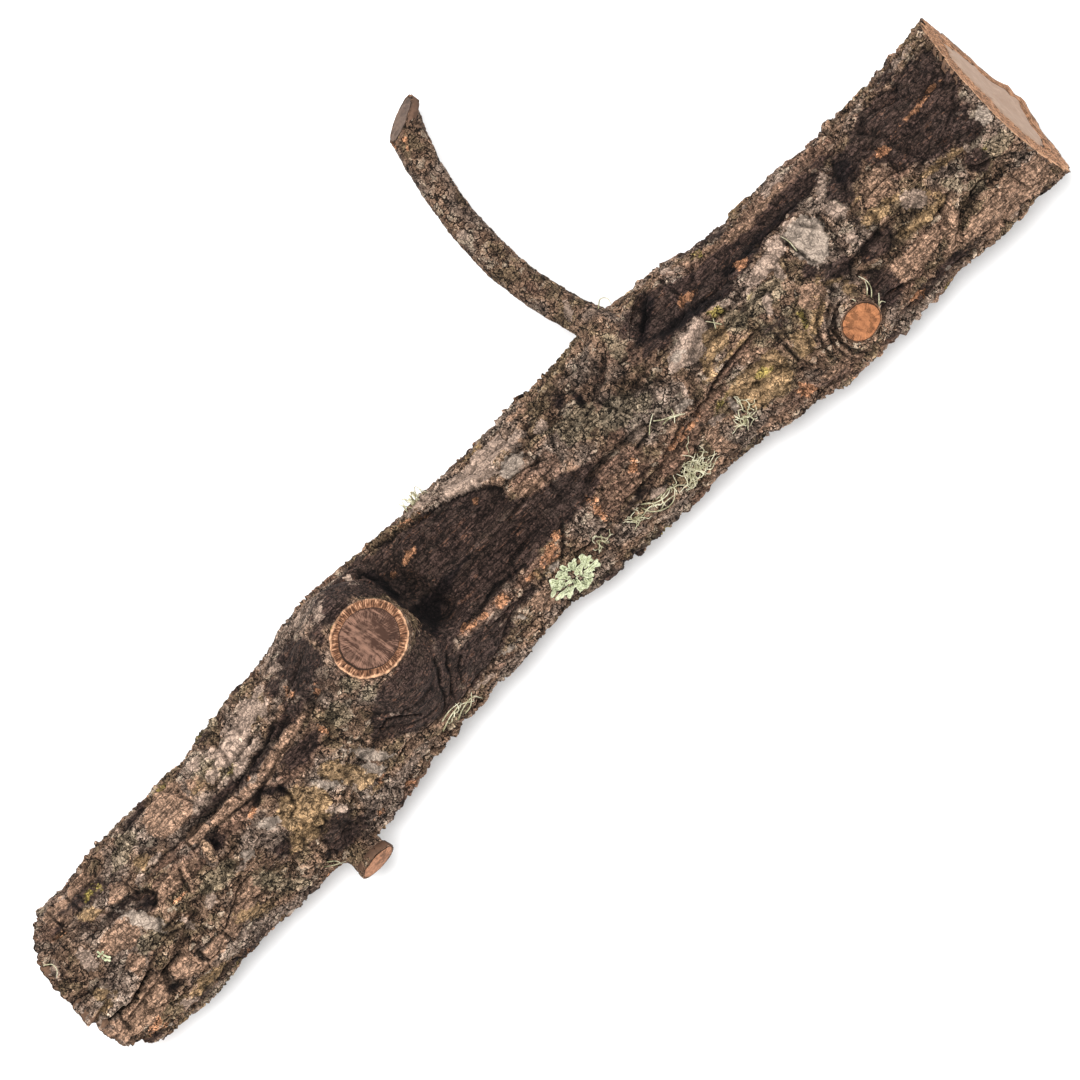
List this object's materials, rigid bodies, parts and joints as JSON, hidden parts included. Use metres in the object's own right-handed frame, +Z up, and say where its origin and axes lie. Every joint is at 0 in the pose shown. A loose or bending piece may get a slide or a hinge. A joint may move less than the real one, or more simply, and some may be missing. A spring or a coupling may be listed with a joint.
{
  "type": "cork bark branch",
  "caption": "Sawn length of cork oak branch with thick furrowed bark, a curved side twig, sawn knots and lichen tufts, lying on its side.",
  "frame": {"origin": "on the flat underside on which the branch rests, at the middle of its length", "axes": "+X along the branch to its sawn end, +Y towards the side twig, +Z up"},
  "size_m": [0.4191, 0.1702, 0.0762],
  "materials": {
    "bark": "rough furrowed cork bark, grey-brown with pale, ochre and dark patches",
    "leafy_lichen": "matt mint green leafy lichen",
    "beard_lichen": "matt pale green threads"
  },
  "bodies": {
    "root": {"branch": "bark", "leafy_lichen": "leafy_lichen", "leafy_lichen_small": "leafy_lichen", "beard_lichen_large": "beard_lichen", "beard_lichen_middle": "beard_lichen", "beard_lichen_right": "beard_lichen", "beard_lichen_knot": "beard_lichen", "beard_lichen_stub": "beard_lichen", "beard_lichen_edge": "beard_lichen"}
  },
  "joints": []
}
